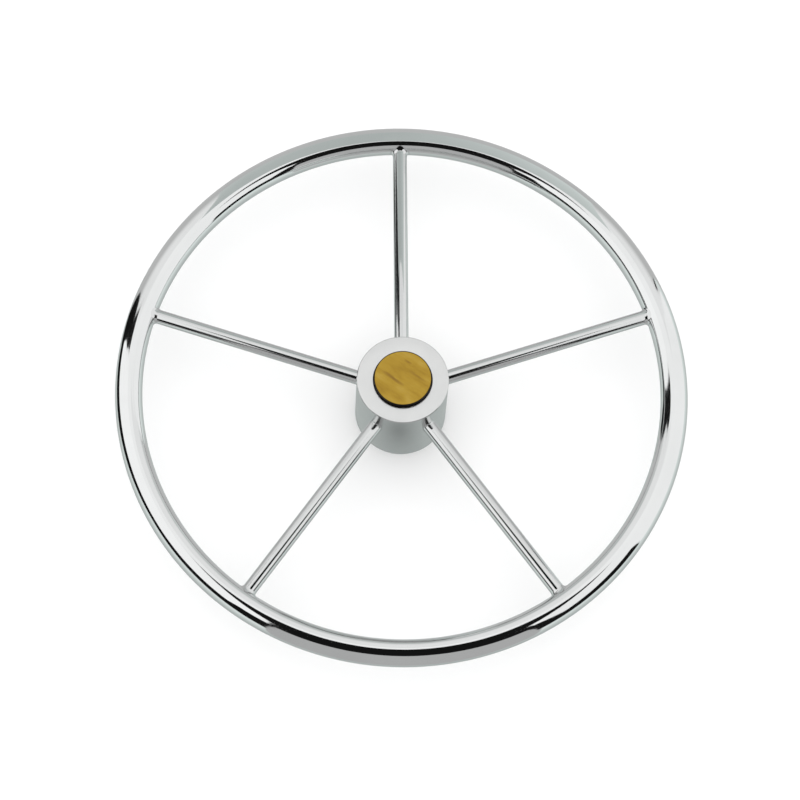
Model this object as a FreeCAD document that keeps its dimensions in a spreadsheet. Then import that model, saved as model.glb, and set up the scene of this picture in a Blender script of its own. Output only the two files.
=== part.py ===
import FreeCAD, Part
import math
import os

import Sketcher

# Five-spoke boat wheel, in millimetres. +Z runs along the wheel's axis towards the helmsman.
# The origin is the centre of the hub's back face, and the first spoke points along +Y.

doc = FreeCAD.newDocument("boat_wheel")
Z = FreeCAD.Vector(0, 0, 1)
ORIGIN = FreeCAD.Vector(0, 0, 0)
SPOKE_COUNT = 5
SCREW_COUNT = 3
FULL_TURN = 360.0

DIMENSIONS = {
    # rim: a round tube bent to a ring and closed by one butt weld over an inner sleeve
    "rim_radius": (190.5, "radius of the rim tube's centreline"),
    "rim_height": (42, "rim and spoke plane above the hub's back face"),
    "tube_radius": (9.525, "outer radius of the rim tube, 3/4 inch tube"),
    "tube_wall": (1.5, "wall of the rim tube"),
    "sleeve_wall": (1.5, "wall of the sleeve inside the rim joint"),
    "sleeve_angle": (10, "arc of that sleeve, in degrees"),
    "seam_angle": (0.36, "arc of the butt weld, in degrees"),
    "seam_bearing": (54, "where the rim is closed, midway between two spokes"),
    # spokes and their welds
    "spoke_radius": (5, "radius of the spoke rod"),
    "spoke_inner": (23, "inner end of a spoke, in its socket in the hub"),
    "spoke_outer": (184, "outer end of a spoke, inside the rim tube"),
    "spoke_chamfer": (0.5, "chamfer on both ends of a spoke"),
    "rim_weld_throw": (2.2, "how far the rim weld stands out from the spoke"),
    "rim_weld_length": (3.4, "how far the rim weld climbs the spoke"),
    "hub_weld_throw": (0.8, "how far the hub weld stands out from the spoke"),
    "hub_weld_length": (0.9, "how far the hub weld climbs the spoke"),
    # hub
    "hub_radius": (32, "outer radius of the hub"),
    "hub_length": (65, "length of the hub"),
    "hub_chamfer": (0.7, "chamfer on the hub's outer edges"),
    "recess_radius": (20.4, "radius of the recess for the nut and the cap"),
    "recess_floor": (43, "height of the recess floor"),
    "recess_chamfer": (0.3, "chamfer at the recess mouth"),
    "taper_large": (9.525, "radius of the shaft taper at the back face, 3/4 inch"),
    "taper_small": (7.9375, "radius of the shaft taper at its inner end, 5/8 inch"),
    "taper_length": (38.1, "length of the shaft taper, 1 in 12 on diameter"),
    "stud_radius": (8.15, "radius of the plain hole for the shaft's threaded end"),
    "key_width": (4.7625, "width of the keyway, 3/16 inch"),
    "key_height": (11.9, "top of the keyway above the axis"),
    # shaft nut and washers, 5/8 inch
    "washer_bore": (8.35, "inner radius of the plain washer"),
    "washer_radius": (17, "outer radius of the plain washer"),
    "washer_height": (2.4, "thickness of the plain washer"),
    "spring_bore": (8.2, "inner radius of the spring washer"),
    "spring_radius": (13.2, "outer radius of the spring washer"),
    "spring_height": (3.2, "thickness of the spring washer"),
    "spring_gap": (1.6, "width of the split in the spring washer"),
    "spring_slant": (30, "slant of that split, in degrees"),
    "nut_across_flats": (23.8, "width of the nut across its flats, 15/16 inch"),
    "nut_height": (9.5, "height of the nut"),
    "nut_bore": (7.175, "radius of the nut's bore, the minor radius of its thread"),
    "nut_chamfer": (1.2, "chamfer on the nut's corners"),
    "nut_gap": (0.1, "gap between the nut and the spring washer"),
    # cap: a teak disc screwed into a black plastic cup, which pushes into the recess on an O-ring
    "cap_radius": (20.1, "outer radius of the cup"),
    "cap_bottom": (54, "lower edge of the cup's skirt"),
    "skirt_inner": (16.8, "inner radius of the cup's skirt"),
    "floor_bottom": (60.5, "underside of the cup's floor"),
    "floor_top": (62.5, "top of the cup's floor"),
    "cup_top": (68.2, "upper edge of the cup, proud of the hub's face"),
    "cup_chamfer": (0.25, "chamfer on the cup's upper edge"),
    "teak_radius": (19.6, "radius of the teak disc"),
    "teak_top": (68.6, "top of the teak disc"),
    "teak_round": (0.6, "rounding of the teak disc's upper edge"),
    "groove_bottom": (56, "lower side of the O-ring groove"),
    "groove_height": (2.6, "width of the O-ring groove"),
    "groove_radius": (18.3, "floor of the O-ring groove"),
    "o_ring_radius": (19.3, "radius of the O-ring's centreline"),
    "o_ring_section": (1.0, "radius of the O-ring's section"),
    "screw_circle": (12, "radius of the circle of cap screws"),
    "screw_radius": (1.5, "radius of a cap screw's shank"),
    "screw_head": (2.9, "radius of a cap screw's head"),
    "screw_head_height": (1.4, "depth of a cap screw's countersunk head"),
    "screw_length": (5.6, "length of a cap screw"),
    "screw_drive": (0.9, "radius of a cap screw's hexagon socket"),
    "screw_drive_depth": (0.9, "depth of a cap screw's hexagon socket"),
}


class Size:
    """A dimension as a number, together with the sheet expression that gives it."""

    def __init__(self, number, text):
        self.number = number
        self.text = text

    def __add__(self, other):
        other = as_size(other)
        return Size(self.number + other.number, f"({self.text} + {other.text})")

    def __sub__(self, other):
        other = as_size(other)
        return Size(self.number - other.number, f"({self.text} - {other.text})")

    def __mul__(self, factor):
        return Size(self.number * factor, f"({self.text} * {factor})")


def as_size(value):
    return value if isinstance(value, Size) else Size(value, str(value))


def make_sheet():
    """Fill the sheet, one dimension to a row, and return each dimension as a Size."""
    sheet = doc.addObject("Spreadsheet::Sheet", "sizes")
    for row, (alias, (number, meaning)) in enumerate(DIMENSIONS.items(), start=1):
        sheet.set(f"A{row}", meaning)
        sheet.set(f"B{row}", str(number))
        sheet.setAlias(f"B{row}", alias)
    doc.recompute()
    return {alias: Size(number, f"sizes.{alias}") for alias, (number, _) in DIMENSIONS.items()}


size = make_sheet()
sub_parts = []


def sub_part(shape_object, label):
    """Name one finished piece and keep it for export."""
    shape_object.Label = label
    sub_parts.append(shape_object)
    return shape_object


def bind(target, **properties):
    """Bind properties of an object to the sheet."""
    for name, value in properties.items():
        target.setExpression(name, as_size(value).text)


def primitive(kind, name, **properties):
    """A Part primitive with its sizes bound to the sheet."""
    shape_object = doc.addObject(kind, name)
    bind(shape_object, **properties)
    return shape_object


def boolean(kind, name, base, tool):
    result = doc.addObject(kind, name)
    result.Base = base
    result.Tool = tool
    return result


def fused(name, shapes):
    result = doc.addObject("Part::MultiFuse", name)
    result.Shapes = shapes
    return result


def origin_feature(body, role):
    return next(feature for feature in body.Origin.OriginFeatures if feature.Role == role)


def outline(body, name, role, vertices):
    """A closed polygon on one of the body's own planes; each corner is tied to the sheet."""
    sketch = body.newObject("Sketcher::SketchObject", name)
    sketch.AttachmentSupport = [(origin_feature(body, role), "")]
    sketch.MapMode = "FlatFace"
    corners = [(as_size(x), as_size(y)) for x, y in vertices]
    points = [FreeCAD.Vector(x.number, y.number, 0) for x, y in corners]
    count = len(points)
    for index in range(count):
        sketch.addGeometry(Part.LineSegment(points[index], points[(index + 1) % count]), False)
    for index in range(count):
        sketch.addConstraint(Sketcher.Constraint("Coincident", index, 2, (index + 1) % count, 1))
    for index, (x, y) in enumerate(corners):
        tie(sketch, index, "DistanceX", -2, x)
        tie(sketch, index, "DistanceY", -1, y)
    return sketch


def tie(sketch, index, direction, zero_axis, value):
    """Hold a corner on an axis where its coordinate is zero, or at a distance from the sheet."""
    if value.number == 0:
        sketch.addConstraint(Sketcher.Constraint("PointOnObject", index, 1, zero_axis))
        return
    number = sketch.addConstraint(Sketcher.Constraint(direction, -1, 1, index, 1, value.number))
    sketch.setExpression(f"Constraints[{number}]", value.text)


def turned(name, vertices):
    """A body turned about its own Z axis from a half section of (radius, height) corners."""
    body = doc.addObject("PartDesign::Body", name)
    sketch = outline(body, f"{name}_section", "XZ_Plane", vertices)
    turn = body.newObject("PartDesign::Revolution", f"{name}_turn")
    turn.Profile = sketch
    turn.ReferenceAxis = (sketch, ["V_Axis"])
    turn.Angle = FULL_TURN
    body.Tip = turn
    doc.recompute()
    return body


def subtract(body, kind, name, position, direction=Z, **properties):
    """Cut a primitive out of a body, pointing along a direction from a position."""
    volume_before = body.Shape.Volume
    cutter = body.newObject(kind, name)
    bind(cutter, **properties)
    cutter.Placement = FreeCAD.Placement(ORIGIN, FreeCAD.Rotation(Z, direction))
    for axis, value in zip("xyz", position):
        cutter.setExpression(f"Placement.Base.{axis}", as_size(value).text)
    body.Tip = cutter
    doc.recompute()
    if body.Shape.Volume >= volume_before:
        raise RuntimeError(f"{name} cuts nothing")
    return cutter


def polar_pattern(body, name, features, count):
    """Repeat cuts about the body's Z axis."""
    pattern = body.newObject("PartDesign::PolarPattern", name)
    pattern.Originals = features
    pattern.Axis = (origin_feature(body, "Z_Axis"), [""])
    pattern.Angle = FULL_TURN
    pattern.Occurrences = count
    body.Tip = pattern
    doc.recompute()
    return pattern


def spoke_placement(number):
    """Turn a piece built along +Z out along one of the spokes, in the rim's plane."""
    bearing = math.radians(90 + number * FULL_TURN / SPOKE_COUNT)
    direction = FreeCAD.Vector(math.cos(bearing), math.sin(bearing), 0)
    height = FreeCAD.Vector(0, 0, size["rim_height"].number)
    return FreeCAD.Placement(height, FreeCAD.Rotation(Z, direction))


def rim_torus(name, tube_radius, arc=None):
    """A torus on the rim's centreline, whole or as an arc centred on the rim's joint."""
    torus = primitive("Part::Torus", name, Radius1=size["rim_radius"], Radius2=tube_radius)
    start = 0.0
    if arc is not None:
        bind(torus, Angle3=arc)
        start = size["seam_bearing"].number - arc.number / 2
    torus.Placement.Rotation = FreeCAD.Rotation(Z, start)
    bind(torus, **{"Placement.Base.z": size["rim_height"]})
    return torus


# ---------------------------------------------------------------- rim


def make_rim():
    """The open tube ring, drilled on its inner side for the spokes."""
    gap = size["seam_angle"]
    tube = rim_torus("rim_outside", size["tube_radius"])
    hollow = rim_torus("rim_inside", size["tube_radius"] - size["tube_wall"])
    opening = rim_torus("rim_opening", size["tube_radius"] + size["tube_wall"], gap)
    drills = [make_spoke_drill(number) for number in range(SPOKE_COUNT)]
    cut = fused("rim_cuts", [hollow, opening] + drills)
    sub_part(boolean("Part::Cut", "rim", tube, cut), "rim_tube")


def make_spoke_drill(number):
    """The hole for one spoke, from inside the ring to the middle of the tube."""
    drill = primitive(
        "Part::Cylinder",
        f"spoke_drill_{number + 1}",
        Radius=size["spoke_radius"],
        Height=size["rim_radius"] - size["hub_radius"],
    )
    drill.Placement = spoke_placement(number)
    outward = drill.Placement.Rotation.multVec(Z) * size["hub_radius"].number
    drill.Placement.Base = drill.Placement.Base + outward
    return drill


def make_rim_joint():
    """The butt weld that closes the ring, and the sleeve under it."""
    sleeve_outside = size["tube_radius"] - size["tube_wall"]
    sleeve_inside = sleeve_outside - size["sleeve_wall"]
    seam = boolean(
        "Part::Cut",
        "seam",
        rim_torus("seam_outside", size["tube_radius"], size["seam_angle"]),
        rim_torus("seam_inside", sleeve_outside, size["seam_angle"] * 2),
    )
    sleeve = boolean(
        "Part::Cut",
        "sleeve",
        rim_torus("sleeve_outside", sleeve_outside, size["sleeve_angle"]),
        rim_torus("sleeve_inside", sleeve_inside, size["sleeve_angle"] * 2),
    )
    sub_part(seam, "rim_seam_weld")
    sub_part(sleeve, "rim_joint_sleeve")


# ---------------------------------------------------------------- spokes


def make_spoke(number):
    """A round rod with chamfered ends."""
    radius = size["spoke_radius"]
    chamfer = size["spoke_chamfer"]
    inner = size["spoke_inner"]
    outer = size["spoke_outer"]
    section = [
        (0, inner),
        (radius - chamfer, inner),
        (radius, inner + chamfer),
        (radius, outer - chamfer),
        (radius - chamfer, outer),
        (0, outer),
    ]
    spoke = turned(f"rod_{number + 1}", section)
    spoke.Placement = spoke_placement(number)
    sub_part(spoke, f"spoke_{number + 1}")


def weld_collar(name, start, length, throw, end):
    """A collar round a spoke whose hollow face is drawn with two flats, ending inside the wall."""
    radius = size["spoke_radius"]
    section = [
        (radius, start),
        (radius + throw * 0.3, start + length * 0.6),
        (radius + throw, start + length),
        (radius + throw, end),
        (radius, end),
    ]
    return turned(name, section)


def make_rim_weld(number, rim_envelope):
    """The fillet round a spoke's outer end, shaped to the tube it meets."""
    length = size["rim_weld_length"]
    crown = size["rim_radius"] - size["tube_radius"]
    collar = weld_collar(
        f"rim_collar_{number + 1}", crown - length * 0.6, length, size["rim_weld_throw"], size["spoke_outer"]
    )
    collar.Placement = spoke_placement(number)
    weld = boolean("Part::Cut", f"rim_fillet_{number + 1}", collar, rim_envelope)
    sub_part(weld, f"rim_weld_{number + 1}")


def make_hub_weld(number, hub_envelope):
    """The small fillet round a spoke where it enters the hub."""
    length = size["hub_weld_length"]
    collar = weld_collar(
        f"hub_collar_{number + 1}",
        size["hub_radius"] - length * 0.5,
        length,
        size["hub_weld_throw"],
        size["hub_radius"] + length,
    )
    turn_round(collar, size["hub_radius"] * 2 + length * 0.5)
    collar.Placement = spoke_placement(number).multiply(collar.Placement)
    weld = boolean("Part::Cut", f"hub_fillet_{number + 1}", collar, hub_envelope)
    sub_part(weld, f"hub_weld_{number + 1}")


def turn_round(piece, span):
    """Turn a piece end for end on its own axis, where span is the sum of its two end heights."""
    half_turn = FreeCAD.Rotation(FreeCAD.Vector(1, 0, 0), FULL_TURN / 2)
    piece.Placement = FreeCAD.Placement(FreeCAD.Vector(0, 0, span.number), half_turn)


# ---------------------------------------------------------------- hub


def make_hub():
    """The turned hub: shaft taper from the back, recess from the front, keyway and spoke sockets."""
    chamfer = size["hub_chamfer"]
    edge = size["recess_chamfer"]
    section = [
        (size["taper_large"], 0),
        (size["hub_radius"] - chamfer, 0),
        (size["hub_radius"], chamfer),
        (size["hub_radius"], size["hub_length"] - chamfer),
        (size["hub_radius"] - chamfer, size["hub_length"]),
        (size["recess_radius"] + edge, size["hub_length"]),
        (size["recess_radius"], size["hub_length"] - edge),
        (size["recess_radius"], size["recess_floor"]),
        (size["stud_radius"], size["recess_floor"]),
        (size["stud_radius"], size["taper_length"]),
        (size["taper_small"], size["taper_length"]),
    ]
    hub = turned("hub", section)
    subtract(
        hub,
        "PartDesign::SubtractiveBox",
        "keyway",
        (size["key_width"] * -0.5, 0, 0),
        Length=size["key_width"],
        Width=size["key_height"],
        Height=size["taper_length"],
    )
    socket = subtract(
        hub,
        "PartDesign::SubtractiveCylinder",
        "spoke_socket",
        (0, size["spoke_inner"], size["rim_height"]),
        FreeCAD.Vector(0, 1, 0),
        Radius=size["spoke_radius"],
        Height=size["hub_radius"] - size["spoke_inner"] + size["hub_chamfer"],
    )
    polar_pattern(hub, "spoke_sockets", [socket], SPOKE_COUNT)
    sub_part(hub, "hub_body")


# ---------------------------------------------------------------- shaft nut and washers


def ring(name, bore, radius, bottom, height):
    """A flat ring."""
    top = bottom + height
    return turned(name, [(bore, bottom), (radius, bottom), (radius, top), (bore, top)])


def make_washers():
    plain = ring(
        "flat_ring", size["washer_bore"], size["washer_radius"], size["recess_floor"], size["washer_height"]
    )
    sub_part(plain, "plain_washer")

    bottom = size["recess_floor"] + size["washer_height"]
    spring = ring("spring_ring", size["spring_bore"], size["spring_radius"], bottom, size["spring_height"])
    split = primitive(
        "Part::Box",
        "spring_split",
        Length=size["spring_radius"] + size["spring_gap"],
        Width=size["spring_gap"],
        Height=size["spring_height"] * 3,
    )
    slant = FreeCAD.Rotation(FreeCAD.Vector(1, 0, 0), size["spring_slant"].number)
    split.Placement = FreeCAD.Placement(FreeCAD.Vector(0, 2.0, bottom.number), slant)
    bind(split, **{"Placement.Base.z": bottom - size["spring_height"]})
    sub_part(boolean("Part::Cut", "split_ring", spring, split), "spring_washer")


def make_nut():
    """A hexagon jam nut, chamfered on both faces and at both ends of its bore."""
    bottom = size["recess_floor"] + size["washer_height"] + size["spring_height"] + size["nut_gap"]
    top = bottom + size["nut_height"]
    across_flats = size["nut_across_flats"]
    chamfer = size["nut_chamfer"]
    corner = across_flats * (1 / math.sqrt(3))
    land = across_flats * 0.48
    rise = chamfer * 0.6
    blank = turned(
        "nut_blank",
        [
            (size["nut_bore"], bottom + chamfer),
            (size["nut_bore"] + chamfer, bottom),
            (land, bottom),
            (corner + chamfer, bottom + rise * 2),
            (corner + chamfer, top - rise * 2),
            (land, top),
            (size["nut_bore"] + chamfer, top),
            (size["nut_bore"], top - chamfer),
        ],
    )
    hexagon = primitive("Part::Prism", "nut_hexagon", Circumradius=corner, Height=size["nut_height"])
    hexagon.Polygon = 6
    bind(hexagon, **{"Placement.Base.z": bottom})
    sub_part(boolean("Part::Common", "nut", hexagon, blank), "shaft_nut")


# ---------------------------------------------------------------- cap


def subtract_screw_hole(body, name, bottom, height):
    """The first of the holes for the cap screws, as wide as a screw's shank."""
    return subtract(
        body,
        "PartDesign::SubtractiveCylinder",
        name,
        (size["screw_circle"], 0, bottom),
        Radius=size["screw_radius"],
        Height=height,
    )


def make_carrier():
    """The black plastic cup round the teak, with a skirt below that carries the O-ring."""
    groove_top = size["groove_bottom"] + size["groove_height"]
    section = [
        (size["skirt_inner"], size["cap_bottom"]),
        (size["cap_radius"], size["cap_bottom"]),
        (size["cap_radius"], size["groove_bottom"]),
        (size["groove_radius"], size["groove_bottom"]),
        (size["groove_radius"], groove_top),
        (size["cap_radius"], groove_top),
        (size["cap_radius"], size["cup_top"] - size["cup_chamfer"]),
        (size["cap_radius"] - size["cup_chamfer"], size["cup_top"]),
        (size["teak_radius"], size["cup_top"]),
        (size["teak_radius"], size["floor_top"]),
        (0, size["floor_top"]),
        (0, size["floor_bottom"]),
        (size["skirt_inner"], size["floor_bottom"]),
    ]
    carrier = turned("cup", section)
    floor_height = size["floor_top"] - size["floor_bottom"]
    hole = subtract_screw_hole(carrier, "cup_hole", size["floor_bottom"], floor_height)
    countersink = subtract(
        carrier,
        "PartDesign::SubtractiveCone",
        "cup_countersink",
        (size["screw_circle"], 0, size["floor_bottom"]),
        Radius1=size["screw_head"],
        Radius2=size["screw_radius"],
        Height=size["screw_head_height"],
    )
    polar_pattern(carrier, "cup_holes", [hole, countersink], SCREW_COUNT)
    sub_part(carrier, "cap_carrier")


def make_teak():
    """The teak disc, with its upper edge eased and three pilot holes below."""
    top = size["teak_top"]
    radius = size["teak_radius"]
    teak = turned("disc", [(0, size["floor_top"]), (radius, size["floor_top"]), (radius, top), (0, top)])
    pilot_depth = size["floor_bottom"] + size["screw_length"] - size["floor_top"]
    hole = subtract_screw_hole(teak, "pilot_hole", size["floor_top"], pilot_depth)
    drilled = polar_pattern(teak, "pilot_holes", [hole], SCREW_COUNT)
    edges = [
        f"Edge{index}"
        for index, edge in enumerate(drilled.Shape.Edges, start=1)
        if edge.BoundBox.ZMin > top.number - size["teak_round"].number / 2 and edge.Length > radius.number
    ]
    rounding = teak.newObject("PartDesign::Fillet", "disc_edge")
    rounding.Base = (drilled, edges)
    bind(rounding, Radius=size["teak_round"])
    teak.Tip = rounding
    sub_part(teak, "cap_teak")


def make_o_ring():
    ring_torus = primitive(
        "Part::Torus", "o_ring", Radius1=size["o_ring_radius"], Radius2=size["o_ring_section"]
    )
    bind(ring_torus, **{"Placement.Base.z": size["groove_bottom"] + size["groove_height"] * 0.5})
    sub_part(ring_torus, "cap_o_ring")


def make_cap_screw(number):
    """A countersunk screw with its head down, in the cup's floor."""
    bottom = size["floor_bottom"]
    drive = size["screw_drive"]
    drive_top = bottom + size["screw_drive_depth"]
    section = [
        (0, drive_top),
        (drive, drive_top),
        (drive, bottom),
        (size["screw_head"], bottom),
        (size["screw_radius"], bottom + size["screw_head_height"]),
        (size["screw_radius"], bottom + size["screw_length"]),
        (0, bottom + size["screw_length"]),
    ]
    screw = turned(f"cap_screw_{number + 1}", section)
    bearing = math.radians(number * FULL_TURN / SCREW_COUNT)
    radius = size["screw_circle"].number
    screw.Placement.Base = FreeCAD.Vector(radius * math.cos(bearing), radius * math.sin(bearing), 0)
    return screw


def make_cap_screws():
    group = doc.addObject("Part::Compound", "screws")
    group.Links = [make_cap_screw(number) for number in range(SCREW_COUNT)]
    sub_part(group, "cap_screws")


# ---------------------------------------------------------------- whole wheel

make_rim()
make_rim_joint()
make_hub()
rim_envelope = rim_torus("rim_envelope", size["tube_radius"])
hub_envelope = primitive(
    "Part::Cylinder", "hub_envelope", Radius=size["hub_radius"], Height=size["hub_length"]
)
for spoke_number in range(SPOKE_COUNT):
    make_spoke(spoke_number)
    make_rim_weld(spoke_number, rim_envelope)
    make_hub_weld(spoke_number, hub_envelope)
make_washers()
make_nut()
make_carrier()
make_teak()
make_o_ring()
make_cap_screws()
doc.recompute()

for shape_object in doc.Objects:
    if "Invalid" in shape_object.State or "Error" in shape_object.State:
        raise RuntimeError(f"{shape_object.Label} failed: {shape_object.State}")
for piece in sub_parts:
    if piece.Shape.isNull() or not piece.Shape.isValid() or not piece.Shape.Solids:
        raise RuntimeError(f"{piece.Label} has no valid solid")

os.makedirs("parts", exist_ok=True)
for piece in sub_parts:
    piece.Shape.exportStep(f"parts/{piece.Label}.step")
    box = piece.Shape.optimalBoundingBox(False)
    print(
        f"{piece.Label:18s} {len(piece.Shape.Solids)} solid(s), {piece.Shape.Volume:10.1f} mm3,"
        f" z {box.ZMin:.2f}..{box.ZMax:.2f}"
    )
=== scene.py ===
import math

import bmesh
import bpy
from mathutils import Matrix, Vector, noise


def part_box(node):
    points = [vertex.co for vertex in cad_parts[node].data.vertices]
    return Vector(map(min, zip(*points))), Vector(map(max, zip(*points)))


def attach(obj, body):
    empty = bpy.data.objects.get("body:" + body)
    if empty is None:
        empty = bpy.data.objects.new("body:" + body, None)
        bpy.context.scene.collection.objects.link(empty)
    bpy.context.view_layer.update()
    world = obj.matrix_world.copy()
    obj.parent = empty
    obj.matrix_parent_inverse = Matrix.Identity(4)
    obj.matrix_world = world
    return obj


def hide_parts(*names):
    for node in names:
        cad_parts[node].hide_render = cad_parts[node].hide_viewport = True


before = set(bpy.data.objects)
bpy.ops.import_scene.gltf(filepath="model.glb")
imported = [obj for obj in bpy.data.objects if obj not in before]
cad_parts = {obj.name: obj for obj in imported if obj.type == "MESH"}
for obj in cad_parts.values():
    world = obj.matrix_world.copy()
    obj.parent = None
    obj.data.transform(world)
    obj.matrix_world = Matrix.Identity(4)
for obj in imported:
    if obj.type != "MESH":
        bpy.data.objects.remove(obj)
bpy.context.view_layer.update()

# A five-spoke stainless boat wheel lying on its hub's back face. Metres, +Z along the wheel's axis.

MM = 0.001
TURN = 2 * math.pi
SPOKE_COUNT = 5

# ---------------------------------------------------------------- sizes, from the frame

rim_low, rim_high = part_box("rim_tube")
TUBE_RADIUS = (rim_high.z - rim_low.z) / 2
RIM_RADIUS = (rim_high.x - rim_low.x) / 2 - TUBE_RADIUS
RIM_HEIGHT = (rim_high.z + rim_low.z) / 2
CENTRE = Vector((0, 0, RIM_HEIGHT))

spoke_low, spoke_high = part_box("spoke_1")
SPOKE_RADIUS = (spoke_high.z - spoke_low.z) / 2

hub_low, hub_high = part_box("hub_body")
HUB_RADIUS = (hub_high.x - hub_low.x) / 2
HUB_TOP = hub_high.z

cup_low, cup_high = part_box("cap_carrier")
CUP_RADIUS = (cup_high.x - cup_low.x) / 2
teak_low, teak_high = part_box("cap_teak")
TEAK_RADIUS = (teak_high.x - teak_low.x) / 2
washer_low, washer_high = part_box("plain_washer")
spring_low, spring_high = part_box("spring_washer")
nut_low, nut_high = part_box("shaft_nut")

# ---------------------------------------------------------------- mesh helpers


def add_piece(name, mesh, body, material, stands_for, place=Matrix.Identity(4)):
    """Show a mesh as a piece of the object, in place of CAD nodes, on one of its bodies."""
    piece = bpy.data.objects.new(name, mesh)
    bpy.context.scene.collection.objects.link(piece)
    piece.matrix_world = place
    mesh.materials.append(material)
    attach(piece, body)
    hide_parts(*stands_for)
    return piece


def finished_mesh(name, build, sharp_angle=math.radians(35)):
    """Turn a bmesh into a smooth-shaded mesh whose crisp edges stay crisp."""
    bmesh.ops.recalc_face_normals(build, faces=build.faces)
    for face in build.faces:
        face.smooth = True
    for edge in build.edges:
        if len(edge.link_faces) == 2 and edge.calc_face_angle() > sharp_angle:
            edge.smooth = False
    mesh = bpy.data.meshes.new(name)
    build.to_mesh(mesh)
    build.free()
    return mesh


def ring_of(build, points):
    """A row of new vertices at the given points."""
    return [build.verts.new(point) for point in points]


def bridge(build, first, second):
    """Quads between two closed rows of vertices of the same length."""
    count = len(first)
    for index in range(count):
        after = (index + 1) % count
        build.faces.new((first[index], first[after], second[after], second[index]))


def circle(radius, height, segments):
    """Points evenly round the Z axis."""
    angles = (TURN * index / segments for index in range(segments))
    return [(radius * math.cos(angle), radius * math.sin(angle), height) for angle in angles]


def softened(corners, radius):
    """Round each corner of a (radius, height) outline with a small arc-like curve."""
    steps = 3
    side_share = 0.45
    rounded = []
    count = len(corners)
    for index, corner in enumerate(corners):
        here = Vector(corner)
        before = Vector(corners[index - 1]) - here
        after = Vector(corners[(index + 1) % count]) - here
        reach = min(radius, before.length * side_share, after.length * side_share)
        start = here + before.normalized() * reach
        end = here + after.normalized() * reach
        for step in range(steps + 1):
            t = step / steps
            rounded.append(start * (1 - t) ** 2 + here * 2 * t * (1 - t) + end * t**2)
    return [(point.x, point.y) for point in rounded]


def lathe(name, outline, segments):
    """Turn a closed (radius, height) outline about Z."""
    build = bmesh.new()
    rows = [ring_of(build, circle(radius, height, segments)) for radius, height in outline]
    for index, row in enumerate(rows):
        bridge(build, row, rows[(index + 1) % len(rows)])
    return finished_mesh(name, build)


def spoke_place(number):
    """Turn a piece built along +Y out along one of the spokes."""
    return Matrix.Rotation(number * TURN / SPOKE_COUNT, 4, "Z")


# ---------------------------------------------------------------- material helpers


class Nodes:
    """A material's node tree, with short ways to add and join nodes."""

    def __init__(self, name, metallic, roughness):
        self.material = bpy.data.materials.new(name)
        self.material.use_nodes = True
        self.tree = self.material.node_tree
        self.shader = self.tree.nodes["Principled BSDF"]
        self.shader.inputs["Metallic"].default_value = metallic
        self.shader.inputs["Roughness"].default_value = roughness
        self.place = self.add("ShaderNodeTexCoord").outputs["Object"]

    def add(self, kind, inputs=(), **settings):
        node = self.tree.nodes.new(kind)
        for key, value in settings.items():
            setattr(node, key, value)
        for key, value in dict(inputs).items():
            self.feed(node.inputs[key], value)
        return node

    def feed(self, socket, value):
        if isinstance(value, bpy.types.NodeSocket):
            self.tree.links.new(value, socket)
        else:
            socket.default_value = value

    def math(self, operation, first, second=0.0):
        node = self.add("ShaderNodeMath", operation=operation)
        for socket, value in zip(node.inputs, (first, second)):
            self.feed(socket, value)
        return node.outputs[0]

    def plus(self, first, second):
        return self.math("ADD", first, second)

    def minus(self, first, second):
        return self.math("SUBTRACT", first, second)

    def times(self, first, second):
        return self.math("MULTIPLY", first, second)

    def noise(self, vector, scale, detail=2.0, rough=0.5, w=None):
        """Noise from 0 to 1, in four dimensions where w is given."""
        inputs = {"Vector": vector, "Scale": scale, "Detail": detail, "Roughness": rough}
        if w is not None:
            inputs["W"] = w
        dimensions = "3D" if w is None else "4D"
        return self.add("ShaderNodeTexNoise", inputs, noise_dimensions=dimensions).outputs["Fac"]

    def remap(self, value, source, target):
        """Stretch the source range of a value over the target range, and hold it at both ends."""
        inputs = {"Value": value}
        inputs["From Min"], inputs["From Max"] = source
        inputs["To Min"], inputs["To Max"] = target
        return self.add("ShaderNodeMapRange", inputs).outputs["Result"]

    def ramp(self, value, stops):
        """A colour ramp through (position, colour) stops."""
        node = self.add("ShaderNodeValToRGB", {"Fac": value})
        elements = node.color_ramp.elements
        while len(elements) < len(stops):
            elements.new(0.5)
        for element, (position, colour) in zip(elements, stops):
            element.position = position
            element.color = (*colour, 1)
        return node.outputs["Color"]

    def stretched(self, scale):
        """The point's place, scaled along each axis on its own."""
        return self.add("ShaderNodeMapping", {"Vector": self.place, "Scale": scale}).outputs["Vector"]

    def split(self):
        """The x, y and z of a point, in metres."""
        return self.add("ShaderNodeSeparateXYZ", {"Vector": self.place}).outputs

    def join(self, x, y, z):
        return self.add("ShaderNodeCombineXYZ", {"X": x, "Y": y, "Z": z}).outputs["Vector"]

    def turning_lines(self, across, along):
        """Fine lines that run round the Z axis, as a lathe or a polishing belt leaves them."""
        x, y, z = self.split()
        radius = self.math("SQRT", self.plus(self.times(x, x), self.times(y, y)))
        cosine = self.math("DIVIDE", x, radius)
        sine = self.math("DIVIDE", y, radius)
        vector = self.join(self.times(radius, across), self.times(z, across), self.times(cosine, along))
        return self.noise(vector, scale=1.0, detail=3.0, rough=0.6, w=self.times(sine, along))

    def bump(self, height, distance, under=None):
        """A normal that leans with a height, on top of another normal where one is given."""
        inputs = {"Height": height, "Distance": distance, "Strength": 1.0}
        if under is not None:
            inputs["Normal"] = under
        return self.add("ShaderNodeBump", inputs).outputs["Normal"]

    def finish(self, **inputs):
        """Join values to the shader's sockets, which go by their names with _ for a space."""
        for key, value in inputs.items():
            self.feed(self.shader.inputs[key.replace("_", " ")], value)
        return self.material


# ---------------------------------------------------------------- materials


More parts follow.
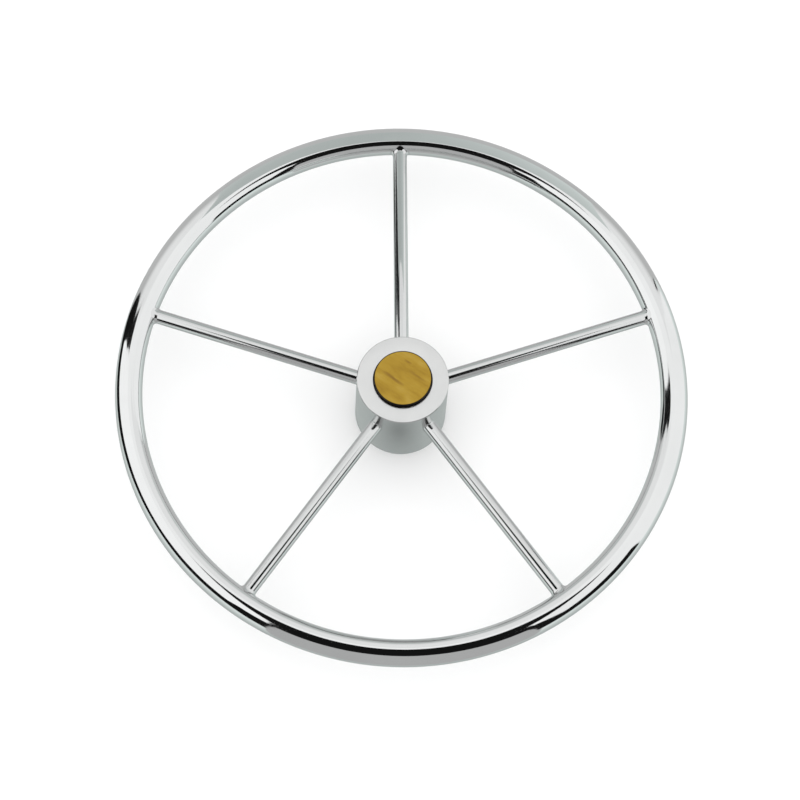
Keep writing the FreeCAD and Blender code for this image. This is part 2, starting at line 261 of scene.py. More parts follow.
def polished_steel(name, lines_along, tone=1.0, haze=0.0):
    """Mirror-polished stainless: faint belt lines, smudges, and the slight wave of drawn tube. A tone below
    one darkens the colour as painted shade.
    """
    nodes = Nodes(name, metallic=1.0, roughness=0.05)
    if lines_along == "ring":
        lines = nodes.turning_lines(across=2600.0, along=14.0)
    else:
        lines = nodes.noise(nodes.stretched((2600.0, 90.0, 2600.0)), scale=1.0, detail=3.0, rough=0.6)
    smudge = nodes.noise(nodes.place, scale=26.0, detail=4.0, rough=0.55)
    film = nodes.remap(smudge, (0.35, 0.75), (0.0, 0.04))
    roughness = nodes.plus(nodes.remap(lines, (0.3, 0.7), (0.035 + haze, 0.06 + haze)), film)
    clean = tuple(tone * channel for channel in (0.80, 0.81, 0.81))
    filmed = tuple(tone * channel for channel in (0.765, 0.775, 0.773))
    colour = nodes.ramp(smudge, [(0.3, clean), (0.7, filmed)])
    wave = nodes.bump(nodes.noise(nodes.place, scale=30.0, detail=1.0, rough=0.4), distance=0.12 * MM)
    normal = nodes.bump(lines, distance=0.0012 * MM, under=wave)
    return nodes.finish(Base_Color=colour, Roughness=roughness, Normal=normal)


def turned_steel(name):
    """Lathe-turned and buffed stainless: fine rings across it, brighter than it is sharp."""
    nodes = Nodes(name, metallic=1.0, roughness=0.22)
    fine = nodes.turning_lines(across=5200.0, along=3.0)
    broad = nodes.turning_lines(across=900.0, along=5.0)
    smudge = nodes.noise(nodes.place, scale=34.0, detail=4.0, rough=0.6)
    film = nodes.remap(smudge, (0.35, 0.75), (0.0, 0.06))
    roughness = nodes.plus(nodes.remap(fine, (0.25, 0.75), (0.17, 0.23)), film)
    colour = nodes.ramp(smudge, [(0.3, (0.745, 0.750, 0.745)), (0.7, (0.705, 0.712, 0.708))])
    rings = nodes.bump(broad, distance=0.0025 * MM)
    normal = nodes.bump(fine, distance=0.0012 * MM, under=rings)
    return nodes.finish(Base_Color=colour, Roughness=roughness, Normal=normal)


def plain_steel(name):
    """Machined fastener steel, duller than the polished parts, a little stained."""
    nodes = Nodes(name, metallic=1.0, roughness=0.3)
    lines = nodes.turning_lines(across=3000.0, along=6.0)
    stain = nodes.noise(nodes.place, scale=160.0, detail=5.0, rough=0.6)
    spots = nodes.remap(stain, (0.4, 0.8), (0.0, 0.12))
    roughness = nodes.plus(nodes.remap(lines, (0.3, 0.7), (0.22, 0.34)), spots)
    colour = nodes.ramp(
        stain,
        [
            (0.35, (0.62, 0.62, 0.61)),
            (0.60, (0.56, 0.55, 0.53)),
            (0.85, (0.42, 0.39, 0.35)),
        ],
    )
    return nodes.finish(Base_Color=colour, Roughness=roughness, Normal=nodes.bump(lines, distance=0.006 * MM))


def teak(name):
    """Oiled teak: straight grain on the slant, fine pores and three dark mineral streaks."""
    nodes = Nodes(name, metallic=0.0, roughness=0.5)
    nodes.shader.inputs["Specular IOR Level"].default_value = 0.25
    lean = math.radians(-36)
    x, y, z = nodes.split()
    along = nodes.plus(nodes.times(x, math.cos(lean)), nodes.times(y, math.sin(lean)))
    across = nodes.minus(nodes.times(y, math.cos(lean)), nodes.times(x, math.sin(lean)))

    def grain(lengthwise, crosswise, detail, rough):
        """Noise drawn out along the grain, its two scales in waves per metre."""
        vector = nodes.join(
            nodes.times(along, lengthwise), nodes.times(across, crosswise), nodes.times(z, crosswise)
        )
        return nodes.noise(vector, 1.0, detail, rough)

    figure = grain(34.0, 150.0, detail=4.0, rough=0.6)
    fibre = grain(260.0, 2800.0, detail=3.0, rough=0.6)
    pore = grain(380.0, 4600.0, detail=1.0, rough=0.5)
    patch = nodes.noise(nodes.place, scale=75.0)
    mottle = nodes.plus(nodes.times(fibre, 0.12), nodes.times(patch, 0.26))
    wood = nodes.ramp(
        nodes.plus(nodes.times(figure, 0.62), mottle),
        [
            (0.36, (0.265, 0.152, 0.003)),
            (0.46, (0.320, 0.192, 0.008)),
            (0.53, (0.345, 0.214, 0.013)),
            (0.64, (0.385, 0.252, 0.032)),
        ],
    )
    wander = nodes.times(nodes.minus(figure, 0.5), 5 * MM)
    path = nodes.plus(across, wander)
    marks = nodes.remap(pore, (0.60, 0.74), (0.0, 0.30))
    # each streak's middle along and across the grain, half its length and width, and how dark it is
    streaks = (
        (-5.3 * MM, -4.3 * MM, 9.5 * MM, 1.3 * MM, 0.95),
        (7.5 * MM, 6.5 * MM, 7.5 * MM, 1.1 * MM, 0.50),
        (-4.0 * MM, 11.4 * MM, 3.0 * MM, 1.1 * MM, 0.65),
    )
    for middle, side, reach, width, depth in streaks:
        marks = nodes.math("MAXIMUM", marks, streak(nodes, along, path, middle, side, reach, width, depth))
    dark_grain = (0.175, 0.085, 0.004, 1)
    # the mix node repeats its socket names for each kind of data, so its sockets go by position
    mix = nodes.add("ShaderNodeMix", data_type="RGBA")
    nodes.feed(mix.inputs[0], marks)
    nodes.feed(mix.inputs[6], wood)
    nodes.feed(mix.inputs[7], dark_grain)
    roughness = nodes.remap(fibre, (0.3, 0.7), (0.42, 0.58))
    normal = nodes.bump(nodes.minus(fibre, marks), distance=0.04 * MM)
    return nodes.finish(Base_Color=mix.outputs[2], Roughness=roughness, Normal=normal)


def streak(nodes, along, path, middle, side, reach, width, depth):
    """How dark a streak of the grain is, fading to its sides and to its two ends."""
    beside = nodes.math("DIVIDE", nodes.math("ABSOLUTE", nodes.minus(path, side)), width)
    beyond = nodes.math("DIVIDE", nodes.math("ABSOLUTE", nodes.minus(along, middle)), reach)
    line = nodes.math("MAXIMUM", nodes.minus(1.0, beside), 0.0)
    length = nodes.math("MAXIMUM", nodes.minus(1.0, beyond), 0.0)
    return nodes.times(nodes.math("SQRT", nodes.times(line, length)), depth)


def black_plastic_and_gap_shade(name):
    """Turned black acetal: close rings and a few pale scuffs. Its colour is partly the cup's own black and
    partly painted shade, kept near black so the cup's ring round the teak stands for the shadow gap there.
    """
    nodes = Nodes(name, metallic=0.0, roughness=0.4)
    nodes.shader.inputs["Specular IOR Level"].default_value = 0.18
    rings = nodes.turning_lines(across=6000.0, along=1.5)
    scuff = nodes.noise(nodes.place, scale=700.0, detail=5.0, rough=0.7)
    colour = nodes.ramp(scuff, [(0.45, (0.0055, 0.0035, 0.0030)), (0.85, (0.020, 0.016, 0.014))])
    roughness = nodes.remap(rings, (0.3, 0.7), (0.34, 0.5))
    return nodes.finish(Base_Color=colour, Roughness=roughness, Normal=nodes.bump(rings, distance=0.008 * MM))


def black_rubber(name):
    """Moulded nitrile rubber with a fine matt skin."""
    nodes = Nodes(name, metallic=0.0, roughness=0.65)
    skin = nodes.noise(nodes.place, scale=3500.0, detail=3.0, rough=0.6)
    bloom = nodes.noise(nodes.place, scale=300.0, detail=3.0, rough=0.6)
    colour = nodes.ramp(bloom, [(0.35, (0.014, 0.014, 0.014)), (0.8, (0.034, 0.034, 0.033))])
    roughness = nodes.remap(bloom, (0.3, 0.7), (0.55, 0.75))
    return nodes.finish(Base_Color=colour, Roughness=roughness, Normal=nodes.bump(skin, distance=0.01 * MM))


RING_POLISH = polished_steel("polished_steel_rim", "ring")
# the rods and welds are the rim's steel painted a tenth darker, as painted shade over their highlights
SHADED_ROD_POLISH = polished_steel("polished_steel_rod_painted_shade", "rod", tone=0.90, haze=0.025)
HUB_STEEL = turned_steel("turned_hub_steel")
FASTENER_STEEL = plain_steel("fastener_steel")
TEAK = teak("teak_wood")
BLACK_PLASTIC_AND_GAP_SHADE = black_plastic_and_gap_shade("black_acetal_and_gap_shade")
BLACK_RUBBER = black_rubber("black_nitrile")

# ---------------------------------------------------------------- rim


def make_rim():
    """The polished tube ring, with the faint polished-out trace of its butt weld."""
    around, across = 720, 72
    seam_bearing = math.radians(54)
    seam_width = 1.2 * MM
    seam_dip = 0.02 * MM
    build = bmesh.new()
    rows = []
    for index in range(around):
        bearing = TURN * index / around
        outward = Vector((math.cos(bearing), math.sin(bearing), 0))
        away = (bearing - seam_bearing) * RIM_RADIUS / seam_width
        radius = TUBE_RADIUS - seam_dip * math.exp(-away * away)
        row = []
        for step in range(across):
            angle = TURN * step / across
            point = CENTRE + outward * (RIM_RADIUS + radius * math.cos(angle))
            row.append(point + Vector((0, 0, radius * math.sin(angle))))
        rows.append(ring_of(build, row))
    for index, row in enumerate(rows):
        bridge(build, row, rows[(index + 1) % around])
    mesh = finished_mesh("rim", build)
    add_piece("rim", mesh, "wheel", RING_POLISH, ["rim_tube", "rim_seam_weld"])


# ---------------------------------------------------------------- spokes and welds


def rim_wall(x, z):
    """Distance from the axis to the rim's inner wall, at an offset across the spoke."""
    reach = RIM_RADIUS - math.sqrt(TUBE_RADIUS**2 - z * z)
    return math.sqrt(reach * reach - x * x)


def hub_wall(x, z):
    """Distance from the axis to the hub's side, which is the same at every z."""
    return math.sqrt(HUB_RADIUS**2 - x * x)


def make_spoke(number):
    """A polished rod, coped to the rim and to the hub, with the slightest unevenness of handwork."""
    around, along = 72, 60
    bite = 0.25 * MM
    unevenness = 0.0015
    waves_across, waves_along = 60, 25
    # each rod has its own part of the noise
    seed = Vector((number * 7.3, 0, 0))
    build = bmesh.new()
    rows = []
    for step in range(along + 1):
        row = []
        for index in range(around):
            angle = TURN * index / around
            x = SPOKE_RADIUS * math.cos(angle)
            z = SPOKE_RADIUS * math.sin(angle)
            start = hub_wall(x, z) - bite
            end = rim_wall(x, z) + bite
            y = start + (end - start) * step / along
            place = Vector((x * waves_across, y * waves_along, z * waves_across))
            ripple = 1 - unevenness * (0.5 + 0.5 * noise.noise(place + seed))
            row.append((x * ripple, y, RIM_HEIGHT + z * ripple))
        rows.append(ring_of(build, row))
    for step in range(along):
        bridge(build, rows[step], rows[step + 1])
    build.faces.new(rows[0])
    build.faces.new(rows[-1])
    name = f"spoke_rod_{number + 1}"
    add_piece(
        name,
        finished_mesh(name, build),
        "wheel",
        SHADED_ROD_POLISH,
        [f"spoke_{number + 1}"],
        spoke_place(number),
    )


def make_weld(name, node, number, wall, outward, throw, climb):
    """A hollow-faced fillet that runs from the spoke's side on to the wall it meets, following both."""
    around, steps = 96, 10
    depth = 0.3 * MM
    skin = 0.02 * MM
    step_back = 0.1 * MM
    unevenness, waves = 0.10, 1.6
    fullness = 0.62
    # each weld has its own part of the noise
    seed = Vector((number * 3.1, outward * 5.7, 0))

    def on_wall(across, radius, sink=0.0):
        """The point of the wall at a distance from the spoke's axis, or one sunk into the wall."""
        x, z = radius * across.x, radius * across.z
        return Vector((x, wall(x, z) + outward * sink, z))

    build = bmesh.new()
    rows = []
    for index in range(around):
        angle = TURN * index / around
        across = Vector((math.cos(angle), 0, math.sin(angle)))
        uneven = 1 + unevenness * noise.noise(Vector((across.x, across.z, 0)) * waves + seed)
        foot = SPOKE_RADIUS + throw * uneven
        end = on_wall(across, foot)
        slope = (end - on_wall(across, foot - step_back)).normalized()
        root = on_wall(across, SPOKE_RADIUS).y
        start = across * (SPOKE_RADIUS + skin) + Vector((0, root - outward * climb * uneven, 0))
        lift = start + Vector((0, outward * climb * uneven * fullness, 0))
        sweep = end - slope * (throw * uneven * fullness)
        row = []
        for step in range(steps + 1):
            t = step / steps
            row.append(
                start * (1 - t) ** 3 + lift * 3 * t * (1 - t) ** 2 + sweep * 3 * t * t * (1 - t) + end * t**3
            )
        row.append(on_wall(across, foot, depth))
        row.append(on_wall(across, SPOKE_RADIUS - depth, depth))
        row.append(across * (SPOKE_RADIUS - depth) + Vector((0, start.y, 0)))
        rows.append(ring_of(build, [point + Vector((0, 0, RIM_HEIGHT)) for point in row]))
    for index, row in enumerate(rows):
        bridge(build, row, rows[(index + 1) % around])
    mesh = finished_mesh(name, build)
    add_piece(name, mesh, "wheel", SHADED_ROD_POLISH, [node], spoke_place(number))


# ---------------------------------------------------------------- hub


def bore_ring(radius, height, segments, key_width, key_top):
    """One section of the tapered bore with its keyway, as a ring that starts in the keyway's middle."""
    side_steps, top_steps = 4, 4
    half = key_width / 2
    edge = math.asin(half / radius)
    corner = radius * math.cos(edge)
    right = [(half * step / top_steps, key_top) for step in range(top_steps)]
    right += [(half, key_top + (corner - key_top) * step / side_steps) for step in range(side_steps)]
    left = [(-x, y) for x, y in reversed(right[1:])]
    count = segments - len(right) - len(left)
    angles = (edge + (TURN - 2 * edge) * step / (count - 1) for step in range(count))
    bore = [(radius * math.sin(angle), radius * math.cos(angle)) for angle in angles]
    return [(x, y, height) for x, y in right + bore + left]


def make_hub():
    """The turned hub, with softened edges, the nut recess, the stud hole, the taper and its keyway."""
    segments = 256
    chamfer, mouth_chamfer, softening = 0.45 * MM, 0.3 * MM, 0.12 * MM
    cup_clearance = 0.3 * MM
    recess_radius = CUP_RADIUS + cup_clearance
    recess_floor = washer_low.z
    taper_large, taper_small, taper_length = 9.525 * MM, 7.9375 * MM, 38.1 * MM
    stud_radius = 8.15 * MM
    key_width, key_top = 4.7625 * MM, 11.9 * MM
    outside = softened(
        [
            (HUB_RADIUS - chamfer, 0),
            (HUB_RADIUS, chamfer),
            (HUB_RADIUS, HUB_TOP - chamfer),
            (HUB_RADIUS - chamfer, HUB_TOP),
            (recess_radius + mouth_chamfer, HUB_TOP),
            (recess_radius, HUB_TOP - mouth_chamfer),
            (recess_radius, recess_floor),
            (stud_radius, recess_floor),
            (stud_radius, taper_length),
        ],
        softening,
    )
    # the outline is open from its last corner to its first, so half the rounding of both is dropped
    outside = outside[2:-2]

    def plain_ring(radius, height):
        """Points clockwise from +Y, as in the bore's rings."""
        angles = (TURN / 4 - TURN * index / segments for index in range(segments))
        return [(radius * math.cos(angle), radius * math.sin(angle), height) for angle in angles]

    build = bmesh.new()
    rows = [ring_of(build, plain_ring(radius, height)) for radius, height in outside]
    # down the taper, from its small end to the hub's back face
    for share in (1.0, 0.5, 0.0):
        radius = taper_large + (taper_small - taper_large) * share
        rows.append(ring_of(build, bore_ring(radius, taper_length * share, segments, key_width, key_top)))
    for index, row in enumerate(rows):
        bridge(build, row, rows[(index + 1) % len(rows)])
    mesh = finished_mesh("hub", build)
    add_piece("hub", mesh, "wheel", HUB_STEEL, ["hub_body"])


# ---------------------------------------------------------------- nut and washers


def make_plain_washer():
    """A flat ring with rounded edges."""
    radius = (washer_high.x - washer_low.x) / 2
    bore = 8.35 * MM
    low, high = washer_low.z, washer_high.z
    outline = softened([(bore, low), (radius, low), (radius, high), (bore, high)], 0.45 * MM)
    mesh = lathe("washer_plain", outline, segments=144)
    add_piece("washer_plain", mesh, "wheel", FASTENER_STEEL, ["plain_washer"])


def make_spring_washer():
    """A split ring of square wire, closed flat under the nut, with slanted ends."""
    radius = (spring_high.x - spring_low.x) / 2
    bore = 8.2 * MM
    low, high = spring_low.z, spring_high.z
    half_gap = math.radians(4)
    slant = math.radians(5)
    section = softened([(bore, low), (radius, low), (radius, high), (bore, high)], 0.4 * MM)
    steps = 140
    build = bmesh.new()
    rows = []
    for step in range(steps + 1):
        row = []
        for distance, height in section:
            lean = slant * (2 * (height - low) / (high - low) - 1)
            angle = half_gap + lean + (TURN - 2 * half_gap) * step / steps
            row.append((distance * math.cos(angle), distance * math.sin(angle), height))
        rows.append(ring_of(build, row))
    for step in range(steps):
        bridge(build, rows[step], rows[step + 1])
    build.faces.new(rows[0])
    build.faces.new(rows[-1])
    mesh = finished_mesh("washer_spring", build)
    add_piece("washer_spring", mesh, "wheel", FASTENER_STEEL, ["spring_washer"])


def make_nut():
    """The hexagon jam nut, with chamfered corners and a real 5/8-18 thread cut through it."""
    flats = (nut_high.y - nut_low.y) / 2
    low, high = nut_low.z, nut_high.z
    pitch = 25.4 * MM / 18
    minor, depth = 7.175 * MM, 0.76 * MM
    # how steeply the thread's flanks rise, and how much of that rise is held back as its flat crest
    flank, crest = 2.4, 0.1
    mouth_chamfer = 1.2 * MM
    segments, per_pitch = 144, 12
    # the corners' chamfer leaves a round face at each end
    end_radius = flats * 0.96
    chamfer_slope = math.tan(math.radians(30))
    # rings lie closer together at the two ends, round the chamfer
    edge_heights = [0.0, 0.12 * MM, 0.3 * MM, 0.6 * MM, 0.9 * MM, 1.2 * MM, 1.5 * MM]

    def outside(angle, height):
        """The hexagon's radius, or the chamfer cone's where that is less."""
        sixth = TURN / 6
        local = (angle + sixth / 2) % sixth - sixth / 2
        hexagon = flats / math.cos(local)
        cone = end_radius + min(height - low, high - height) / chamfer_slope
        return min(hexagon, cone)

    def inside(angle, height):
        """The thread's radius, or the mouth chamfer's where that is more."""
        phase = (height / pitch - angle / TURN) % 1.0
        thread = minor + depth * min(1.0, max(0.0, flank * abs(phase - 0.5) - crest))
        mouth = minor + mouth_chamfer - min(height - low, high - height)
        return max(thread, mouth)

    build = bmesh.new()
    heights = [low + edge for edge in edge_heights] + [high - edge for edge in reversed(edge_heights)]
    rows = [radial_row(build, outside, height, segments) for height in heights]
    count = int((high - low) / pitch * per_pitch)
    for step in range(count + 1):
        rows.append(radial_row(build, inside, high - (high - low) * step / count, segments))
    for index, row in enumerate(rows):
        bridge(build, row, rows[(index + 1) % len(rows)])
    mesh = finished_mesh("nut", build, math.radians(25))
    add_piece("nut", mesh, "nut", FASTENER_STEEL, ["shaft_nut"])


def radial_row(build, radius_at, height, segments):
    """A row of vertices round Z, whose radius depends on the angle and the height."""
    points = []
    for index in range(segments):
        angle = TURN * index / segments
        radius = radius_at(angle, height)
        points.append((radius * math.cos(angle), radius * math.sin(angle), height))
    return ring_of(build, points)


# ---------------------------------------------------------------- cap


def make_teak():
    """The teak inlay: a disc with an eased edge, very slightly crowned by sanding."""
    segments, rings, ease_steps = 144, 36, 6
    ease = 0.6 * MM
    crown = 0.18 * MM
    sanding_depth, sanding_waves, sanding_slice = 0.015 * MM, 260, 1.7
    low, high = teak_low.z, teak_high.z
    build = bmesh.new()
    rows = [ring_of(build, circle(TEAK_RADIUS, low, segments))]
    for step in range(ease_steps + 1):
        angle = TURN / 4 * step / ease_steps
        radius = TEAK_RADIUS - ease + ease * math.cos(angle)
        height = high - crown - ease + ease * math.sin(angle)
        rows.append(ring_of(build, circle(radius, height, segments)))
    flat = TEAK_RADIUS - ease
    for step in range(1, rings):
        radius = flat * (1 - step / rings)
        dome = crown * (1 - (radius / flat) ** 2)
        row = []
        for x, y, _ in circle(radius, 0, segments):
            place = Vector((x * sanding_waves, y * sanding_waves, sanding_slice))
            sanding = sanding_depth * noise.noise(place)
            row.append((x, y, high - crown + min(dome + sanding, crown)))
        rows.append(ring_of(build, row))
    for index in range(len(rows) - 1):
        bridge(build, rows[index], rows[index + 1])
    top = build.verts.new((0, 0, high))
    inner = rows[-1]
    for index in range(segments):
        build.faces.new((inner[index], inner[(index + 1) % segments], top))
    build.faces.new(rows[0])
    mesh = finished_mesh("teak_inlay", build)
    add_piece("teak_inlay", mesh, "cap", TEAK, ["cap_teak"])


def give_material(node, material):
    """Dress a CAD node that is shown as it is."""
    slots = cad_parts[node].data.materials
    slots.clear()
    slots.append(material)


# ---------------------------------------------------------------- build the wheel

make_rim()
for spoke_number in range(SPOKE_COUNT):
    make_spoke(spoke_number)
    make_weld(
        f"rim_fillet_{spoke_number + 1}",
        f"rim_weld_{spoke_number + 1}",
        spoke_number,
        rim_wall,
        outward=1,
        throw=2.2 * MM,
        climb=2.6 * MM,
    )
    make_weld(
        f"hub_fillet_{spoke_number + 1}",
        f"hub_weld_{spoke_number + 1}",
        spoke_number,
        hub_wall,
        outward=-1,
        throw=0.75 * MM,
        climb=0.85 * MM,
    )
make_hub()
make_plain_washer()
make_spring_washer()
make_nut()
make_teak()
give_material("rim_joint_sleeve", FASTENER_STEEL)
# the cup's near-black ring round the teak is partly its own colour and partly painted shade for the gap
give_material("cap_carrier", BLACK_PLASTIC_AND_GAP_SHADE)
give_material("cap_o_ring", BLACK_RUBBER)
give_material("cap_screws", FASTENER_STEEL)

# ---------------------------------------------------------------- studio

# The camera and the studio stand a few degrees round from the first spoke.
STUDIO_TURN = Matrix.Rotation(math.radians(-4.48), 3, "Z")

# A white light tent round the wheel, in metres right of, away from and above the rim's centre. The hem
# is the lower edge of its walls, and the gable the top of its far one.
TENT_LEFT, TENT_RIGHT = -0.70, 0.60
TENT_NEAR, TENT_FAR = -0.70, 0.50
TENT_TOP = 0.62
HEM = -0.60
GABLE = 1.20
# Where the right wall's upper edge meets the opening for the camera.
RIGHT_PEAK = (0.34, -0.34, TENT_TOP)
# The dark room that the tent's gaps show stands this far beyond the walls.
OUTSIDE = 0.05
BLACK = 0.008
WHITE = (1.0, 1.0, 1.0)
SHADE_GREEN = (0.93, 1.0, 0.98)


def graded_light(name, tones, tint, pattern):
    """A glowing cloth: its tone runs along x, up z, or from its edge in to its middle, through the stops."""
    material = bpy.data.materials.new(name)
    material.use_nodes = True
    tree = material.node_tree
    tree.nodes.clear()
    place = tree.nodes.new("ShaderNodeTexCoord")
    spread = tree.nodes.new("ShaderNodeMapping")
    gradient = tree.nodes.new("ShaderNodeTexGradient")
    if pattern == "round":
        gradient.gradient_type = "SPHERICAL"
        spread.inputs["Location"].default_value = (-1.0, -1.0, 0.0)
        spread.inputs["Scale"].default_value = (2.0, 2.0, 0.0)
    elif pattern == "upward":
        spread.inputs["Rotation"].default_value = (0.0, TURN / 4, 0.0)
    tree.links.new(place.outputs["Generated"], spread.inputs["Vector"])
    tree.links.new(spread.outputs["Vector"], gradient.inputs["Vector"])
    ramp = tree.nodes.new("ShaderNodeValToRGB")
    set_tones(ramp.color_ramp, tones, tint)
    tree.links.new(gradient.outputs["Color"], ramp.inputs["Fac"])
    light = tree.nodes.new("ShaderNodeEmission")
    tree.links.new(ramp.outputs["Color"], light.inputs["Color"])
    output = tree.nodes.new("ShaderNodeOutputMaterial")
    tree.links.new(light.outputs[0], output.inputs["Surface"])
    return material


def set_tones(color_ramp, tones, tint, upper_tint=None):
    """Fill a ramp with (position, brightness) stops, the upper half in a second tint if one is given."""
    elements = color_ramp.elements
    while len(elements) < len(tones):
        elements.new(0.5)
    for element, (position, brightness) in zip(elements, tones):
        element.position = position
        shown = upper_tint if upper_tint and position > 0.5 else tint
        element.color = (*(brightness * channel for channel in shown), 1)


def single_face(name, corners):
    """A mesh of one face with the given corners."""
    build = bmesh.new()
    build.faces.new(ring_of(build, corners))
    mesh = bpy.data.meshes.new(name)
    build.to_mesh(mesh)
    build.free()
    return mesh


def level_corners(half_width, near, far, height):
    """The corners of a level rectangle."""
    return [
        (-half_width, near, height),
        (half_width, near, height),
        (half_width, far, height),
        (-half_width, far, height),
    ]


def cloth(name, corners, tones, tint=WHITE, pattern="across"):
    """A sheet of the tent, which only reflections see. A single tone may be given as a number."""
    if not isinstance(tones, list):
        tones = [(0.0, tones), (1.0, tones)]
    mesh = single_face(name, corners)
    mesh.materials.append(graded_light(name, tones, tint, pattern))
    sheet = bpy.data.objects.new(name, mesh)
    sheet.matrix_world = Matrix.Translation(CENTRE) @ STUDIO_TURN.to_4x4()
    sheet.visible_camera = False
    sheet.visible_diffuse = False
    sheet.visible_transmission = False
    sheet.visible_volume_scatter = False
    sheet.visible_shadow = False
    bpy.context.scene.collection.objects.link(sheet)


def make_far_side():
    """The backdrop beyond the wheel, and the shaded cloth that hangs level in front of it."""
    left, right, peak = -0.80, 0.55, 0.30
    cloth(
        "backdrop",
        [
            (left, TENT_FAR, HEM),
            (right, TENT_FAR, HEM),
            (right, TENT_FAR, TENT_TOP),
            (peak, TENT_FAR, GABLE),
            (-peak, TENT_FAR, GABLE),
            (left, TENT_FAR, TENT_TOP),
        ],
        [(0.40, 0.56), (0.52, 0.80), (0.62, 0.92)],
        pattern="upward",
    )
    level = 0.14
    cloth(
        "shaded_cloth",
        [(-0.36, TENT_FAR, level), (0.30, TENT_FAR, level), (0.12, 0.155, level), (-0.13, 0.145, level)],
        [(0.0, 0.66), (0.35, 0.55), (0.5, 0.53), (1.0, 0.86)],
        SHADE_GREEN,
    )


def make_left_side():
    """The bright left wall, and the wing that carries it on up beside the camera's opening."""
    brightness = 1.10
    fold = (-0.43, -0.50, 0.38)
    peak = (-0.30, -0.35, TENT_TOP)
    cloth(
        "left_wall",
        [
            (TENT_LEFT, 0.26, 0.0),
            (TENT_LEFT, -0.28, 0.21),
            (-0.46, -0.50, 0.27),
            fold,
            peak,
            (-0.28, 0.22, TENT_TOP),
            (TENT_LEFT, 0.30, 0.45),
        ],
        brightness,
    )
    cloth("left_wing", [fold, (-0.68, -0.89, 1.25), peak], brightness)


def make_right_side():
    """The bright right wall, leaning in at its top."""
    brightness = 1.02
    low = -0.05
    cloth(
        "right_wall",
        [
            (TENT_RIGHT, TENT_FAR, low),
            (TENT_RIGHT, -0.19, low),
            (TENT_RIGHT, -0.20, 0.24),
            (TENT_RIGHT, -0.50, 0.30),
            RIGHT_PEAK,
            (0.34, 0.30, TENT_TOP),
            (TENT_RIGHT, TENT_FAR, TENT_TOP),
        ],
        brightness,
    )


def make_near_side():
    """The dimmer wall below the camera, and the dark opening that it looks in through."""
    brightness = 0.48
    left, right = -0.41, 0.62
    cloth(
        "near_wall",
        [
            (left, TENT_NEAR, TENT_TOP),
            (right, TENT_NEAR, TENT_TOP),
            (right, TENT_NEAR, HEM),
            (left, TENT_NEAR, HEM),
        ],
        brightness,
    )
    cloth(
        "camera_opening",
        [
            (-0.25, -0.03, TENT_TOP),
            (0.31, -0.01, TENT_TOP),
            RIGHT_PEAK,
            (0.66, TENT_NEAR, TENT_TOP),
            (-0.45, TENT_NEAR, TENT_TOP),
            (-0.28, -0.40, TENT_TOP),
        ],
        BLACK,
    )


def make_gaps():
    """The dark room that shows where the tent's walls don't meet."""
    left, near, far = TENT_LEFT - OUTSIDE, TENT_NEAR - OUTSIDE, TENT_FAR + OUTSIDE
    # the near right gap is a flap that hangs just inside the right wall
    flap = TENT_RIGHT - OUTSIDE / 2
    near_gap_right, near_gap_top = -0.40, 0.70
    cloth(
        "gap_under_left_wall",
        [
            (left, 0.40, 0.10),
            (left, 0.34, -0.38),
            (left, -0.28, -0.02),
            (left, near, 0.0),
            (left, near, near_gap_top),
        ],
        BLACK,
    )
    cloth(
        "gap_near_left",
        [
            (left, near, 0.0),
            (near_gap_right, near, 0.0),
            (near_gap_right, near, near_gap_top),
            (left, near, near_gap_top),
        ],
        BLACK,
    )
    cloth(
        "gap_far_left",
        [(-2.4, far, -0.2), (-1.1, far, -0.7), (-0.6, far, -0.7), (-0.6, far, GABLE), (-2.4, far, 2 * GABLE)],
        BLACK,
    )
    cloth(
        "gap_near_right",
        [
            (flap, -0.19, -0.05),
            (flap, -0.20, 0.22),
            (flap, -0.50, 0.29),
            (0.50, -0.50, 0.68),
            (TENT_RIGHT, near, TENT_TOP),
            (TENT_RIGHT, near, 0.0),
        ],
        BLACK,
    )
    cloth(
        "gap_far_right",
        [
            (0.50, far, HEM),
            (0.60, far, 0.0),
            (0.63, far, 0.20),
            (0.56, far, TENT_TOP),
            (0.50, far, TENT_TOP),
        ],
        BLACK,
    )


def make_hub_shade():
    """The floor's soft shade at the hub's near side, as its wall mirrors it."""
    half_width, near, far = 0.042, -0.088, -0.022
    above_floor = 0.5 * MM
    cloth(
        "hub_shade",
        level_corners(half_width, near, far, above_floor - CENTRE.z),
        [(0.0, 0.50), (0.5, 0.40), (1.0, 0.27)],
        SHADE_GREEN,
        pattern="round",
    )


def make_floor():
    """A broad pale floor, a hair below the hub's back face."""
    reach = 30.0
    drop = 0.1 * MM
    mesh = single_face("floor", level_corners(reach, -reach, reach, 0))
    material = bpy.data.materials.new("pale_floor")
    material.use_nodes = True
    shader = material.node_tree.nodes["Principled BSDF"]
    shader.inputs["Base Color"].default_value = (0.93, 0.93, 0.93, 1)
    shader.inputs["Roughness"].default_value = 0.9
    shader.inputs["Specular IOR Level"].default_value = 0.0
    mesh.materials.append(material)
    floor = bpy.data.objects.new("floor", mesh)
    floor.location.z = -drop
    bpy.context.scene.collection.objects.link(floor)
    floor.visible_glossy = False


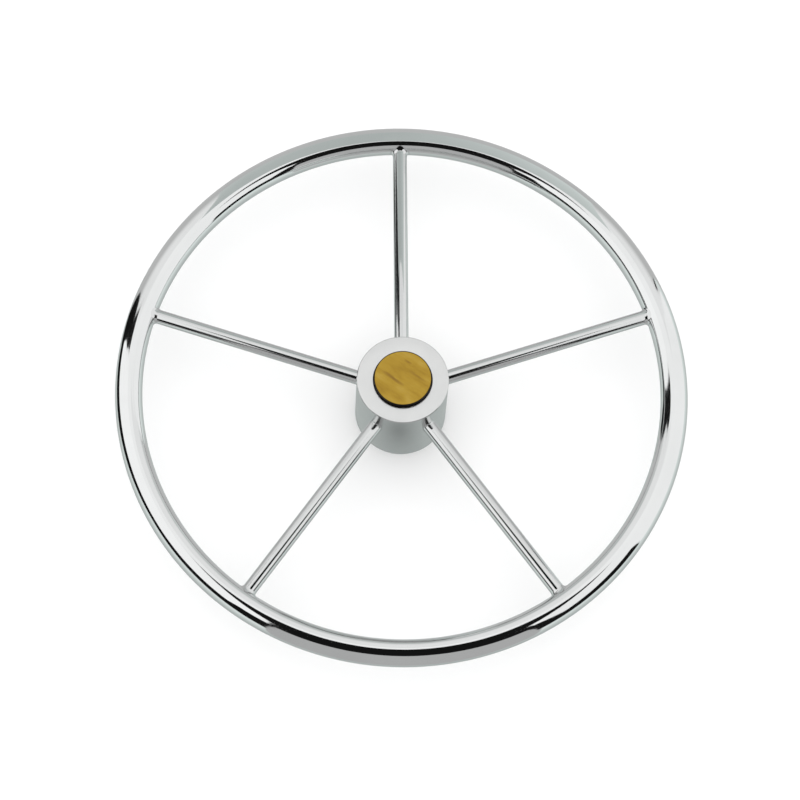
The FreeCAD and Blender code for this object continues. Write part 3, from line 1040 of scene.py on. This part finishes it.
def make_world():
    """Even white light for everything but reflections, which see a pale floor below and a roof above."""
    strength = 1.32
    world = bpy.data.worlds.new("studio")
    bpy.context.scene.world = world
    world.use_nodes = True
    world.cycles.sampling_method = "NONE"
    tree = world.node_tree
    tree.nodes.clear()
    even = tree.nodes.new("ShaderNodeBackground")
    even.inputs["Color"].default_value = (*WHITE, 1)
    even.inputs["Strength"].default_value = strength
    place = tree.nodes.new("ShaderNodeTexCoord")
    axes = tree.nodes.new("ShaderNodeSeparateXYZ")
    height = tree.nodes.new("ShaderNodeMapRange")
    height.inputs["From Min"].default_value = -1.0
    tree.links.new(place.outputs["Generated"], axes.inputs["Vector"])
    tree.links.new(axes.outputs["Z"], height.inputs["Value"])
    floor_and_roof = tree.nodes.new("ShaderNodeValToRGB")
    tree.links.new(height.outputs["Result"], floor_and_roof.inputs["Fac"])
    set_tones(
        floor_and_roof.color_ramp,
        [(0.0, 0.50), (0.10, 0.54), (0.24, 0.68), (0.40, 0.88), (0.48, 0.80), (0.60, 0.82), (0.92, 1.03)],
        SHADE_GREEN,
        WHITE,
    )
    room = tree.nodes.new("ShaderNodeBackground")
    tree.links.new(floor_and_roof.outputs["Color"], room.inputs["Color"])
    path = tree.nodes.new("ShaderNodeLightPath")
    mix = tree.nodes.new("ShaderNodeMixShader")
    output = tree.nodes.new("ShaderNodeOutputWorld")
    tree.links.new(path.outputs["Is Glossy Ray"], mix.inputs["Fac"])
    tree.links.new(even.outputs[0], mix.inputs[1])
    tree.links.new(room.outputs[0], mix.inputs[2])
    tree.links.new(mix.outputs[0], output.inputs["Surface"])


make_floor()
make_world()
make_far_side()
make_left_side()
make_right_side()
make_near_side()
make_gaps()
make_hub_shade()

# ---------------------------------------------------------------- camera


def make_camera():
    """The camera looks down on the wheel from the near side, turned a little round it and rolled."""
    distance = 2.620
    lens, sensor = 168.75, 36.0
    sideways, upward = 1.33 * MM, 6.18 * MM
    elevation, roll = math.radians(69.69), math.radians(-4.30)
    back = STUDIO_TURN @ Vector((0, -math.cos(elevation), math.sin(elevation)))
    up = STUDIO_TURN @ Vector((0, math.sin(elevation), math.cos(elevation)))
    across = STUDIO_TURN @ Vector((1, 0, 0))
    right = across * math.cos(roll) - up * math.sin(roll)
    top = across * math.sin(roll) + up * math.cos(roll)
    data = bpy.data.cameras.new("camera")
    data.lens = lens
    data.sensor_width = sensor
    data.clip_start = 0.1
    data.clip_end = 100.0
    camera = bpy.data.objects.new("camera", data)
    bpy.context.scene.collection.objects.link(camera)
    camera.location = CENTRE + back * distance - right * sideways - top * upward
    camera.rotation_mode = "QUATERNION"
    camera.rotation_quaternion = Matrix((right, top, back)).transposed().to_quaternion()
    bpy.context.scene.camera = camera


make_camera()
bpy.context.scene.view_settings.view_transform = "Standard"
